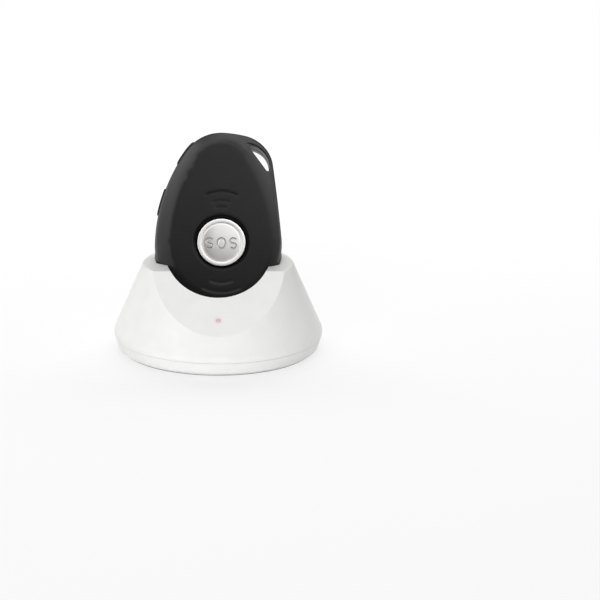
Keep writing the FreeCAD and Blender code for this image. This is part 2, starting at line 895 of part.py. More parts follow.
def dock_board_top():
    return dock_board_height + dock_board_thickness


def dock_board():
    front = led_y() - led_side / 2 - led_margin
    plate = Part.makeBox(dock_board_width, usb_face_y() - board_back_gap - front, dock_board_thickness,
                         Vector(-dock_board_width / 2, front, dock_board_height))
    holes = [upright(x, y, post_pin_radius + hole_gap, dock_board_height, dock_board_top())
             for x, y in post_places()]
    return plate.cut(holes + [pocket_form(pocket_gap + pocket_wall + dock_board_clearance)])


def facet_point(drop):
    """A point on the facet's middle line, a distance down the slope from its upper edge."""
    tilt = math.radians(facet_angle)
    return Vector(0, -facet_top_distance - drop * math.cos(tilt), dock_height - drop * math.sin(tilt))


def lens_place():
    """Where the indicator sits on the facet, and the direction into the dock."""
    tilt = math.radians(facet_angle)
    return facet_point(lens_drop), Vector(0, math.sin(tilt), -math.cos(tilt))


def lens_hole():
    mouth, inward = lens_place()
    return Part.makeCylinder(lens_radius + lens_gap, 2 * dock_wall, mouth - inward * dock_wall, inward)


def light_guide():
    """A rod from the facet down to the lamp."""
    mouth, inward = lens_place()
    foot = Part.makeBox(2 * FAR, 2 * FAR, FAR, Vector(-FAR, -FAR, led_top() + stop_gap - FAR))
    return Part.makeCylinder(lens_radius, FAR, mouth, inward).cut(foot)


def led_top():
    return dock_board_top() + led_height


def led_y():
    """Where the light guide's middle line comes down to the lamp."""
    mouth, inward = lens_place()
    return mouth.y + inward.y * (mouth.z - led_top()) / -inward.z


def dock_led():
    return Part.makeBox(led_side, led_side, led_height,
                        Vector(-led_side / 2, led_y() - led_side / 2, dock_board_top()))


def usb_middle():
    return dock_board_top() + usb_height / 2


def usb_face_y():
    return cone_radius(usb_middle()) - usb_recess


def usb_socket():
    """A charging inlet: a rounded metal mouth round a tongue, standing on the board."""
    z = usb_middle()
    front = usb_face_y()
    back = front - usb_length
    can = block(0, z, usb_width, usb_height, back, front, usb_corner)
    mouth = block(0, z, usb_width - 2 * usb_wall, usb_height - 2 * usb_wall, back + usb_corner,
                  front, usb_corner - usb_wall)
    tongue = block(0, z, usb_tongue_width, usb_tongue_height, back, front - usb_wall)
    return can.cut(mouth).fuse(tongue)


def usb_opening(width, height, start_y):
    """A round-cornered bar through the back of the shell, in line with the inlet."""
    return block(0, usb_middle(), width, height, start_y, FAR, usb_corner)


def usb_frame(gap):
    """The thick frame inside the shell that the inlet sits in, grown by a gap."""
    return usb_opening(usb_mouth_width + 2 * (usb_bezel + gap), usb_mouth_height + 2 * (usb_bezel + gap),
                       usb_face_y() - usb_bezel - gap)


def tracker_nodes():
    """The tracker's pieces, in the tracker's upright frame."""
    return {
        "front_housing": front_housing(),
        "rear_housing": rear_housing(),
        "housing_gasket": housing_gasket(),
        "call_button_cap": call_button_cap(),
        "call_button_plunger": call_button_plunger(),
        "call_button_seal": call_button_seal(),
        "call_switch": call_switch(),
        "side_key_lower": side_key(lower_key_z),
        "side_key_upper": side_key(upper_key_z),
        "side_switches": Part.makeCompound([side_switch(z) for z in (lower_key_z, upper_key_z)]),
        "main_board": main_board(),
        "battery": battery(),
        "battery_pad": battery_pad(),
        "modem_module": modem_module(),
        "satellite_patch": satellite_patch(),
        "network_aerial": network_aerial(),
        "sim_holder": sim_holder(),
        "sim_card": sim_card(),
        "speaker": speaker(),
        "microphone": microphone(),
        "vibration_motor": vibration_motor(),
        "charge_contacts": Part.makeCompound([charge_contact(x, z) for x, z in contact_places]),
        "housing_screws": Part.makeCompound([housing_screw(x, z) for x, z in screw_places]),
        "spring_pins": Part.makeCompound([spring_pin(x, z) for x, z in contact_places]),
        "pin_barrels": Part.makeCompound([pin_barrel(x, z) for x, z in contact_places]),
        "pin_carrier": pin_carrier(),
    }


def dock_nodes():
    """The dock's pieces, where they stand."""
    return {
        "dock_shell": dock_shell(),
        "dock_base": dock_base(),
        "foot_ring": foot_ring(),
        "weight_plate": weight_plate(),
        "dock_board": dock_board(),
        "dock_led": dock_led(),
        "light_guide": light_guide(),
        "usb_socket": usb_socket(),
        "dock_screws": Part.makeCompound([dock_screw(x, y) for x, y in dock_boss_places()]),
    }


os.makedirs("parts", exist_ok=True)
nodes = {name: seat_tracker(shape) for name, shape in tracker_nodes().items()}
nodes.update(dock_nodes())
for name, shape in nodes.items():
    shape.exportStep("parts/" + name + ".step")
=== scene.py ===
"""Looks of a pendant GPS tracker that leans in its white charging dock.

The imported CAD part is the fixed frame. This script dresses it: the outer mouldings are shaded
round, the call button is turned and engraved, and every piece gets a worked surface.
"""

import json
import logging
import math
from dataclasses import dataclass
from enum import Enum
from typing import Any, Iterable, Optional, Sequence, Union

import bmesh
import bpy
from mathutils import Matrix, Vector

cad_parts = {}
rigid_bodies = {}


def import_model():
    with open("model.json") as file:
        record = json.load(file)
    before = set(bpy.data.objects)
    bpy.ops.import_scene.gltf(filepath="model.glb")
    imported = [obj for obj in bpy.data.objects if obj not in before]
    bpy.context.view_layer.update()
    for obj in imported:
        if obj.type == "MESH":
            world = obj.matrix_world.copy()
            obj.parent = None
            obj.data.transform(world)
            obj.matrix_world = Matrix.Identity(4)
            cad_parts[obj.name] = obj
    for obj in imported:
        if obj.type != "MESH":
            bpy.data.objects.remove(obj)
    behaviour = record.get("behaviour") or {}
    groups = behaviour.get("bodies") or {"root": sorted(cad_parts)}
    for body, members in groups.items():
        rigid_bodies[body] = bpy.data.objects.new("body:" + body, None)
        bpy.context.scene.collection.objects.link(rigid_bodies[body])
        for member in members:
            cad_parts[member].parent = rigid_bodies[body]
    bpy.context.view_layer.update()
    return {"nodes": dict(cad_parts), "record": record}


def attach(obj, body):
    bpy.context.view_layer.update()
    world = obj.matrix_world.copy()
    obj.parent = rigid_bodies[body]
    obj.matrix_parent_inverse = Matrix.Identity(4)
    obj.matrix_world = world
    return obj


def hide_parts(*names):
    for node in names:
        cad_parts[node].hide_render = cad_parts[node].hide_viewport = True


for default_object in list(bpy.data.objects):
    bpy.data.objects.remove(default_object)
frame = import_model()

LOG = logging.getLogger("tracker_looks")
MM = 0.001

# The tracker's own frame is upright and in millimetres. It leans back about this origin.
LEAN = math.radians(25.0)
TRACKER_ORIGIN = Vector((0.0, 3.95, 34.9))

Colour = tuple[float, float, float]
Span = tuple[float, float]
Operand = Union["Signal", float]


class Body(Enum):
    """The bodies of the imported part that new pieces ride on."""

    FIXED = "dock_and_tracker"
    BUTTON = "call_button"


class Grain(Enum):
    """How a surface's fine marks run."""

    SPARK = "even fine pits, as from an eroded mould"
    DRAWN = "long marks one way, as on drawn metal"
    TURNED = "rings round the button's middle"
    CRINKLED = "soft creases, as in foil"


class Letter(Enum):
    """The plain letterforms, each with its width in millimetres."""

    S = 3.5
    O = 4.0


def tracker_matrix() -> Matrix:
    """Gives the move from the tracker's own frame, in millimetres, to the dock, in metres."""
    lean = Matrix.Rotation(-LEAN, 4, "X")
    return Matrix.Scale(MM, 4) @ Matrix.Translation(TRACKER_ORIGIN) @ lean


class Signal:
    """A number that varies over a surface: one output socket that takes arithmetic."""

    def __init__(self, graph: "Graph", socket: bpy.types.NodeSocket) -> None:
        """Keeps the socket and the graph that it belongs to.

        Args:
            graph: The material's graph.
            socket: The output socket to read.
        """
        self.graph = graph
        self.socket = socket

    def _maths(self, operation: str, *operands: Operand) -> "Signal":
        """Adds one Math node.

        Args:
            operation: The Math node's operation.
            *operands: Its inputs in order.

        Returns:
            The node's result.
        """
        node = self.graph.node("ShaderNodeMath", {"operation": operation},
                               dict(enumerate(operands)))
        return self.graph.signal(node)

    def __add__(self, other: Operand) -> "Signal":
        """Adds two values."""
        return self._maths("ADD", self, other)

    def __sub__(self, other: Operand) -> "Signal":
        """Takes a value away."""
        return self._maths("SUBTRACT", self, other)

    def __rsub__(self, other: Operand) -> "Signal":
        """Takes this signal away from a number."""
        return self._maths("SUBTRACT", other, self)

    def __mul__(self, other: Operand) -> "Signal":
        """Multiplies two values."""
        return self._maths("MULTIPLY", self, other)

    def __truediv__(self, other: Operand) -> "Signal":
        """Divides by a value."""
        return self._maths("DIVIDE", self, other)

    def __pow__(self, other: Operand) -> "Signal":
        """Raises to a power."""
        return self._maths("POWER", self, other)

    __radd__ = __add__
    __rmul__ = __mul__

    def sine(self) -> "Signal":
        """Gives the sine."""
        return self._maths("SINE", self)

    def absolute(self) -> "Signal":
        """Gives the size without its sign."""
        return self._maths("ABSOLUTE", self)

    def larger(self, other: Operand) -> "Signal":
        """Gives the larger of two values."""
        return self._maths("MAXIMUM", self, other)

    def ramp(self, low: float, high: float) -> "Signal":
        """Runs smoothly from 0 at low to 1 at high, either way round.

        Args:
            low: The value that gives 0.
            high: The value that gives 1.

        Returns:
            The eased signal.
        """
        node = self.graph.node("ShaderNodeMapRange", {"interpolation_type": "SMOOTHSTEP"},
                               {0: self, 1: min(low, high), 2: max(low, high)})
        eased = self.graph.signal(node)
        return 1.0 - eased if low > high else eased


class Graph:
    """The nodes of one material or of the surroundings."""

    def __init__(self, tree: bpy.types.NodeTree) -> None:
        """Starts on an empty node tree.

        Args:
            tree: The tree to fill.
        """
        tree.nodes.clear()
        self.tree = tree

    def node(self, kind: str, settings: Optional[dict[str, Any]] = None,
             inputs: Optional[dict[Union[str, int], Any]] = None) -> bpy.types.Node:
        """Makes any node.

        Args:
            kind: The node's type name.
            settings: Properties that are set first.
            inputs: Values or links for its sockets, by name or number.

        Returns:
            The new node.
        """
        made = self.tree.nodes.new(kind)
        for name, value in (settings or {}).items():
            setattr(made, name, value)
        for name, value in (inputs or {}).items():
            self.feed(made.inputs[name], value)
        return made

    def feed(self, socket: bpy.types.NodeSocket, value: Any) -> None:
        """Links or sets one input.

        Args:
            socket: The input.
            value: A Signal, an output socket or a plain value.
        """
        if isinstance(value, Signal):
            value = value.socket
        if isinstance(value, bpy.types.NodeSocket):
            self.tree.links.new(value, socket)
        elif socket.type == "RGBA" and len(value) == 3:
            socket.default_value = (*value, 1.0)
        else:
            socket.default_value = value

    def signal(self, node: bpy.types.Node, output: Union[str, int] = 0) -> Signal:
        """Wraps one output of a node."""
        return Signal(self, node.outputs[output])

    def place(self) -> bpy.types.NodeSocket:
        """Gives the place on the object, in metres."""
        return self.node("ShaderNodeTexCoord").outputs["Object"]

    def mapped(self, origin: Vector, lean: float = 0.0,
               scale: Sequence[float] = (1.0, 1.0, 1.0)) -> bpy.types.NodeSocket:
        """Gives the place, centred on a point, turned level and stretched.

        Args:
            origin: The point that becomes zero, in metres.
            lean: The turn about X, in radians.
            scale: How many units a metre is, along each turned axis.

        Returns:
            The mapped vector.
        """
        moved = self.node("ShaderNodeVectorMath", {"operation": "SUBTRACT"},
                          {0: self.place(), 1: origin})
        turned = self.node("ShaderNodeMapping", {"vector_type": "POINT"},
                           {"Vector": moved.outputs[0], "Rotation": (lean, 0.0, 0.0)})
        sized = self.node("ShaderNodeVectorMath", {"operation": "MULTIPLY"},
                          {0: turned.outputs[0], 1: tuple(scale)})
        return sized.outputs[0]

    def parts(self, vector: bpy.types.NodeSocket) -> tuple[Signal, Signal, Signal]:
        """Splits a vector into its three numbers."""
        node = self.node("ShaderNodeSeparateXYZ", {}, {0: vector})
        return self.signal(node, 0), self.signal(node, 1), self.signal(node, 2)

    def length(self, vector: bpy.types.NodeSocket) -> Signal:
        """Gives a vector's length."""
        node = self.node("ShaderNodeVectorMath", {"operation": "LENGTH"}, {0: vector})
        return self.signal(node, "Value")

    def noise(self, vector: bpy.types.NodeSocket, size: float, detail: float = 2.0) -> Signal:
        """Gives soft noise round 0.5.

        Args:
            vector: Where to read it.
            size: How large a feature is, in the vector's units.
            detail: How many finer layers are added.

        Returns:
            The noise.
        """
        inputs = {"Vector": vector, "Scale": 1.0 / size, "Detail": detail}
        return self.signal(self.node("ShaderNodeTexNoise", {}, inputs))

    def rays(self) -> list[Signal]:
        """Gives 1 for rays straight from the camera, for mirrored ones and for refracted ones.

        Returns:
            The three signals.
        """
        path = self.node("ShaderNodeLightPath")
        return [self.signal(path, f"Is {kind} Ray")
                for kind in ("Camera", "Glossy", "Transmission")]

    def mix(self, factor: Operand, first: Any, second: Any) -> bpy.types.NodeSocket:
        """Mixes two colours.

        Args:
            factor: 0 for the first and 1 for the second.
            first: A colour or a link.
            second: A colour or a link.

        Returns:
            The mixed colour.
        """
        node = self.node("ShaderNodeMix", {"data_type": "RGBA"}, {0: factor, 6: first, 7: second})
        return node.outputs[2]


def tint(colour: Colour, factor: float) -> Colour:
    """Gives a colour made lighter or darker by one factor."""
    red, green, blue = (min(1.0, channel * factor) for channel in colour)
    return red, green, blue


@dataclass(frozen=True)
class Finish:
    """A plain worked surface: a base colour that wanders, fine marks and a sheen that varies."""

    slot: str
    colour: Colour
    roughness: float = 0.5
    metallic: float = 0.0
    grain: Grain = Grain.SPARK
    grain_size: float = 0.25 * MM
    grain_depth: float = 0.004 * MM
    wander: float = 0.06
    specular: float = 0.5
    soft_edge: float = 0.0
    edge_samples: int = 8
    sheen_swing: float = 0.12
    cloud_size: float = 6.0 * MM
    cloud_detail: float = 3.0
    cloud_span: Span = (0.3, 0.7)
    drawn_scale: Colour = (1.0, 0.04, 1.0)
    crinkle_detail: float = 5.0
    crinkle_power: float = 1.5

    def material(self) -> bpy.types.Material:
        """Builds the material, or gives the one that is there.

        Returns:
            The material, named after its slot.
        """
        name = f"{self.slot}_finish"
        if name in bpy.data.materials:
            return bpy.data.materials[name]
        made = bpy.data.materials.new(name)
        made.use_nodes = True
        made.diffuse_color = (*self.colour, 1.0)
        graph = Graph(made.node_tree)
        shader = graph.node("ShaderNodeBsdfPrincipled", {},
                            {"Metallic": self.metallic, "Specular IOR Level": self.specular})
        self.dress(graph, shader)
        graph.node("ShaderNodeOutputMaterial", {}, {0: self.surface(graph, shader)})
        return made

    def surface(self, graph: Graph, shader: bpy.types.Node) -> bpy.types.NodeSocket:
        """Gives the shader that covers the piece."""
        return shader.outputs[0]

    def marks(self, graph: Graph) -> Signal:
        """Gives the height of the fine marks, round 0.5.

        Args:
            graph: The material's graph.

        Returns:
            The height.
        """
        if self.grain is Grain.DRAWN:
            return graph.noise(graph.mapped(Vector(), scale=self.drawn_scale), self.grain_size)
        if self.grain is Grain.CRINKLED:
            creases = graph.noise(graph.place(), self.grain_size, self.crinkle_detail)
            return creases ** self.crinkle_power
        return graph.noise(graph.place(), self.grain_size)

    def base(self, graph: Graph) -> bpy.types.NodeSocket:
        """Gives the colour, which wanders a little over the piece.

        Args:
            graph: The material's graph.

        Returns:
            The colour.
        """
        cloud = graph.noise(graph.place(), self.cloud_size, self.cloud_detail)
        return graph.mix(cloud.ramp(*self.cloud_span), tint(self.colour, 1.0 - self.wander),
                         tint(self.colour, 1.0 + self.wander))

    def dress(self, graph: Graph, shader: bpy.types.Node) -> None:
        """Feeds the shader.

        Args:
            graph: The material's graph.
            shader: Its Principled shader.
        """
        marks = self.marks(graph)
        graph.feed(shader.inputs["Base Color"], self.base(graph))
        graph.feed(shader.inputs["Roughness"], self.roughness + self.sheen_swing * (marks - 0.5))
        bump = graph.node("ShaderNodeBump", {}, {"Height": marks, "Distance": self.grain_depth})
        if self.soft_edge:
            rolled = graph.node("ShaderNodeBevel", {"samples": self.edge_samples},
                                {"Radius": self.soft_edge})
            graph.feed(bump.inputs["Normal"], rolled.outputs[0])
        graph.feed(shader.inputs["Normal"], bump.outputs[0])


@dataclass(frozen=True)
class CentredFinish(Finish):
    """A finish that is laid out round the middle of the call button's top."""

    centre: Vector = Vector()

    def own_parts(self, graph: Graph) -> tuple[Signal, Signal, Signal]:
        """Gives the place from the centre: across, into and up the leaning face."""
        return graph.parts(graph.mapped(self.centre, LEAN))


@dataclass(frozen=True)
class TrackerPlastic(CentredFinish):
    """Soft black moulding, with painted shade laid into the dish round the call button as a dead
    black.
    """

    dish_radius: float = 9.8 * MM
    dish_edge: float = 0.15 * MM
    dish_depth: float = 2.6 * MM
    # Painted shade: a dead black mixed over the dish round the call button, strongest at its top
    # and right.
    dish_painted_shade: Colour = (0.002, 0.002, 0.002)
    least_painted_shade: float = 0.35
    more_painted_shade: float = 0.5
    across_share: float = 0.4
    up_share: float = 0.9
    pale_end: float = -0.9

    def surface(self, graph: Graph, shader: bpy.types.Node) -> bpy.types.NodeSocket:
        """Mixes painted shade into the dish as a dead black, most at its top and right.

        Args:
            graph: The material's graph.
            shader: The moulding's Principled shader.

        Returns:
            The mixed shader.
        """
        across, depth, up = self.own_parts(graph)
        radius = (across * across + up * up) ** 0.5
        within = radius.ramp(self.dish_radius, self.dish_radius - self.dish_edge)
        dish = within * depth.ramp(self.dish_depth, 0.0)
        slant = self.across_share * across + self.up_share * up
        shaded = slant.ramp(self.pale_end * self.dish_radius, 0.0)
        # Painted shade: the dead black diffuse that is mixed over the dish.
        black = graph.node("ShaderNodeBsdfDiffuse", {}, {"Color": self.dish_painted_shade})
        painted_shade_share = (self.least_painted_shade + self.more_painted_shade * shaded) * dish
        mixed = graph.node("ShaderNodeMixShader", {},
                           {0: painted_shade_share, 1: shader.outputs[0], 2: black.outputs[0]})
        return mixed.outputs[0]


@dataclass(frozen=True)
class DockPlastic(Finish):
    """White satin moulding, with the indicator's faint pink glow painted into its colour round the
    indicator.
    """

    # Painted glow: the pink that the lit indicator casts on the white, laid into the base colour.
    glow: Colour = (0.92, 0.70, 0.74)
    glow_place: Vector = Vector((0.0, -28.4, 17.7)) * MM
    glow_radius: float = 1.9 * MM
    glow_core: float = 0.4

    def base(self, graph: Graph) -> bpy.types.NodeSocket:
        """Gives the white, with the indicator's pink glow painted in near it.

        Args:
            graph: The material's graph.

        Returns:
            The colour.
        """
        away = graph.length(graph.mapped(self.glow_place))
        # Painted glow: the indicator's light is laid into the base colour as a pink tint.
        painted_glow_mask = away.ramp(self.glow_radius, self.glow_core * self.glow_radius)
        return graph.mix(painted_glow_mask, super().base(graph), self.glow)


@dataclass(frozen=True)
class ButtonMetal(CentredFinish):
    """Satin turned metal, paler on its rim, with a grey engraving and painted shade that darkens it
    to the left.
    """

    fill: Colour = (0.43, 0.426, 0.42)
    # Painted shade: a darker metal colour mixed in towards the left of the cap.
    left_painted_shade: Colour = (0.54, 0.533, 0.52)
    rim: Colour = (0.90, 0.89, 0.88)
    left_shade_span: Span = (-1.0 * MM, -6.0 * MM)
    dome_radius: float = 6.3 * MM
    dome_edge: float = 0.97
    ball_radius: float = 85.0 * MM
    cut_span: Span = (0.03 * MM, 0.07 * MM)
    ring_depth: float = 0.2
    ring_detail: float = 3.0

    def marks(self, graph: Graph) -> Signal:
        """Gives fine rings round the middle, with some unevenness.

        Args:
            graph: The material's graph.

        Returns:
            The height.
        """
        across, depth, up = self.own_parts(graph)
        radius = (across * across + up * up) ** 0.5
        ring = graph.node("ShaderNodeCombineXYZ", {}, {0: radius, 1: depth * self.ring_depth})
        return graph.noise(ring.outputs[0], self.grain_size, self.ring_detail)

    def base(self, graph: Graph) -> bpy.types.NodeSocket:
        """Gives the metal's colour, dark where the dome is cut away and with painted shade to the
        left.

        Args:
            graph: The material's graph.

        Returns:
            The colour.
        """
        across, depth, up = self.own_parts(graph)
        flat = across * across + up * up
        sunk = depth - flat / (2.0 * self.ball_radius)
        within = (flat ** 0.5).ramp(self.dome_radius, self.dome_edge * self.dome_radius)
        cut = sunk.ramp(*self.cut_span) * within
        # Painted shade: the metal turns darker towards the left.
        shade_painted_metal = graph.mix(across.ramp(*self.left_shade_span), super().base(graph), self.left_painted_shade)
        return graph.mix(cut, graph.mix(within, self.rim, shade_painted_metal), self.fill)


@dataclass(frozen=True)
class LensPlastic(Finish):
    """A pink translucent rod that carries a weak glow."""

    glow: Colour = (0.62, 0.42, 0.47)
    dimmed: float = 0.4
    core_span: Span = (0.75 * MM, 0.1 * MM)
    strength: float = 0.35

    def dress(self, graph: Graph, shader: bpy.types.Node) -> None:
        """Feeds the shader, with the glow strongest in the middle.

        Args:
            graph: The material's graph.
            shader: Its Principled shader.
        """
        super().dress(graph, shader)
        core = graph.parts(graph.place())[0].absolute().ramp(*self.core_span)
        colour = graph.mix(core, tint(self.glow, self.dimmed), self.glow)
        graph.feed(shader.inputs["Emission Color"], colour)
        graph.feed(shader.inputs["Emission Strength"], self.strength)


@dataclass(frozen=True)
class BoardLacquer(Finish):
    """Green solder lacquer over raised copper lines."""

    copper: Colour = (0.05, 0.24, 0.10)
    pitch: float = 1.27 * MM
    bend_size: float = 5.0 * MM
    first_bend: float = 2.0 * MM
    second_bend: float = 1.5 * MM
    first_span: Span = (0.80, 0.92)
    second_span: Span = (0.86, 0.95)

    def marks(self, graph: Graph) -> Signal:
        """Gives 1 on the copper lines, which run two ways under the lacquer.

        Args:
            graph: The material's graph.

        Returns:
            The height.
        """
        bend = graph.noise(graph.place(), self.bend_size, 0.0)
        across, depth, up = graph.parts(graph.place())
        beat = 2.0 * math.pi / self.pitch
        first = ((across + bend * self.first_bend) * beat).sine()
        second = ((up + depth + bend * self.second_bend) * beat).sine()
        return first.ramp(*self.first_span).larger(second.ramp(*self.second_span))

    def base(self, graph: Graph) -> bpy.types.NodeSocket:
        """Gives the green, lighter over copper."""
        return graph.mix(self.marks(graph), super().base(graph), self.copper)


def new_object(name: str, data: bpy.types.ID) -> bpy.types.Object:
    """Makes an object and links it into the scene.

    Args:
        name: Its name.
        data: Its mesh, curve, lamp or camera.

    Returns:
        The new object, at the origin.
    """
    made = bpy.data.objects.new(name, data)
    bpy.context.scene.collection.objects.link(made)
    return made


def new_mesh(name: str, shape: bmesh.types.BMesh) -> bpy.types.Mesh:
    """Turns a finished bmesh into a mesh.

    Args:
        name: Its name.
        shape: The bmesh, which is freed.

    Returns:
        The new mesh.
    """
    mesh = bpy.data.meshes.new(name)
    shape.to_mesh(mesh)
    shape.free()
    return mesh


def new_piece(name: str, body: Body, slot: str, shape: bmesh.types.BMesh,
              replaces: Sequence[str]) -> bpy.types.Object:
    """Turns a finished bmesh into a piece of the object.

    Args:
        name: The piece's name.
        body: What it moves with.
        slot: The record's material slot.
        shape: The bmesh, which is freed.
        replaces: CAD nodes that it stands for.

    Returns:
        The new object, at the origin.
    """
    piece = new_object(name, new_mesh(name, shape))
    piece.data.materials.append(FINISHES[slot].material())
    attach(piece, body.value)
    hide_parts(*replaces)
    LOG.info("%s: %d faces, rides on %s", name, len(piece.data.polygons), body.value)
    return piece


def evaluated_mesh(piece: bpy.types.Object) -> bpy.types.Mesh:
    """Gives an object's shape with its modifiers applied.

    Args:
        piece: A mesh or curve object.

    Returns:
        A new mesh.
    """
    bpy.context.view_layer.update()
    return bpy.data.meshes.new_from_object(
        piece.evaluated_get(bpy.context.evaluated_depsgraph_get()))


def spun(profile: Iterable[tuple[float, float]], steps: int,
         merge_distance: float = 1e-4) -> bmesh.types.BMesh:
    """Turns a profile about the Y axis.

    Args:
        profile: (radius, depth) pairs in millimetres, from the top's middle to the underside's.
        steps: Sides round the circle.
        merge_distance: Corners nearer than this, in millimetres, become one.

    Returns:
        The closed shape.
    """
    shape = bmesh.new()
    corners = [shape.verts.new((radius, depth, 0.0)) for radius, depth in profile]
    edges = [shape.edges.new(pair) for pair in zip(corners, corners[1:])]
    bmesh.ops.spin(shape, geom=corners + edges, cent=(0, 0, 0), axis=(0, 1, 0), dvec=(0, 0, 0),
                   angle=2 * math.pi, steps=steps, use_merge=True)
    bmesh.ops.remove_doubles(shape, verts=shape.verts, dist=merge_distance)
    bmesh.ops.recalc_face_normals(shape, faces=shape.faces)
    return shape


def smooth(piece: bpy.types.Object, sharp_angle: float, flat_weight: int = 80) -> None:
    """Shades a piece round, with flats kept flat by weighted normals.

    Args:
        piece: The object.
        sharp_angle: Edges turned by more degrees than this stay sharp.
        flat_weight: How far large faces outweigh small ones; 50 is even.
    """
    piece.data.shade_smooth()
    piece.data.set_sharp_from_angle(angle=math.radians(sharp_angle))
    weighted = piece.modifiers.new("even_shading", "WEIGHTED_NORMAL")
    weighted.keep_sharp = True
    weighted.weight = flat_weight


class SurfaceNormals:
    """Shades a moulding from its true surfaces: broad ones keep theirs, narrow ones roll."""

    same_normal: float = math.cos(math.radians(0.6))
    same_place: float = 1e-6
    dominance: int = 2

    def __init__(self, source: bpy.types.Mesh, roll_angle: float) -> None:
        """Groups a CAD mesh's triangles into surfaces.

        Args:
            source: The CAD node's mesh, whose corner normals are the surfaces' own.
            roll_angle: Surfaces that meet at fewer degrees than this roll into each other.
        """
        self.roll = math.cos(math.radians(roll_angle))
        places = [tuple(round(value / self.same_place) for value in vertex.co)
                  for vertex in source.vertices]
        self.places = [places[loop.vertex_index] for loop in source.loops]
        self.corners = [Vector(normal.vector) for normal in source.corner_normals]
        self.faces = [tuple(face.loop_indices) for face in source.polygons]
        self.areas = [face.area for face in source.polygons]
        self.owner = list(range(len(self.faces)))
        self._join()

    def _root(self, face: int) -> int:
        """Finds the surface that a triangle belongs to.

        Args:
            face: The triangle's number.

        Returns:
            The number of the triangle that stands for the surface.
        """
        while self.owner[face] != face:
            self.owner[face] = self.owner[self.owner[face]]
            face = self.owner[face]
        return face

    def _join(self) -> None:
        """Joins triangles that share an edge and both of its normals."""
        seen: dict[tuple, list[tuple[int, Vector, Vector]]] = {}
        for face, loops in enumerate(self.faces):
            for edge in zip(loops, loops[1:] + loops[:1]):
                ends = sorted((self.places[loop], loop) for loop in edge)
                (low_place, low_loop), (high_place, high_loop) = ends
                low, high = self.corners[low_loop], self.corners[high_loop]
                beside = seen.setdefault((low_place, high_place), [])
                for other, other_low, other_high in beside:
                    if min(low.dot(other_low), high.dot(other_high)) > self.same_normal:
                        self.owner[self._root(face)] = self._root(other)
                beside.append((face, low, high))

    def apply(self, target: bpy.types.Mesh) -> None:
        """Sets the rolled normals on a copy that has the same triangles in the same order.

        Args:
            target: The copy's mesh.
        """
        area: dict[int, float] = {}
        meeting: dict[tuple, dict[int, Vector]] = {}
        for face, loops in enumerate(self.faces):
            surface = self._root(face)
            area[surface] = area.get(surface, 0.0) + self.areas[face]
            for loop in loops:
                meeting.setdefault(self.places[loop], {})[surface] = self.corners[loop]
        normals = []
        for loop in (loop for loops in self.faces for loop in loops):
            own = self.corners[loop]
            rolled = sum((normal * area[surface] ** self.dominance
                          for surface, normal in meeting[self.places[loop]].items()
                          if normal.dot(own) > self.roll), Vector())
            normals.append(rolled.normalized() if rolled.length else own)
        target.normals_split_custom_set(normals)


@dataclass
class MouldedShells:
    """The four outer mouldings: copies of the CAD shells whose short flats are shaded as round."""

    sharp_angle: float = 34.0
    merge_distance: float = 0.002 * MM
    shells: tuple[tuple[str, str], ...] = (
        ("front_housing", "black_housing"),
        ("rear_housing", "black_housing"),
        ("dock_shell", "white_dock"),
        ("dock_base", "white_dock"),
    )

    def build(self) -> None:
        """Makes each shell's piece."""
        for node, slot in self.shells:
            self._shell(node, slot)

    def _shell(self, node: str, slot: str) -> None:
        """Makes one piece.

        Args:
            node: The CAD node that it stands for.
            slot: Its material slot.
        """
        source = frame["nodes"][node].data
        shape = bmesh.new()
        shape.from_mesh(source)
        bmesh.ops.remove_doubles(shape, verts=shape.verts, dist=self.merge_distance)
        piece = new_piece(f"{node}_moulding", Body.FIXED, slot, shape, (node,))
        lost = len(source.polygons) - len(piece.data.polygons)
        if lost:
            LOG.warning("%s: %d faces were lost in merging", node, lost)
            smooth(piece, self.sharp_angle)
        else:
            SurfaceNormals(source, self.sharp_angle).apply(piece.data)


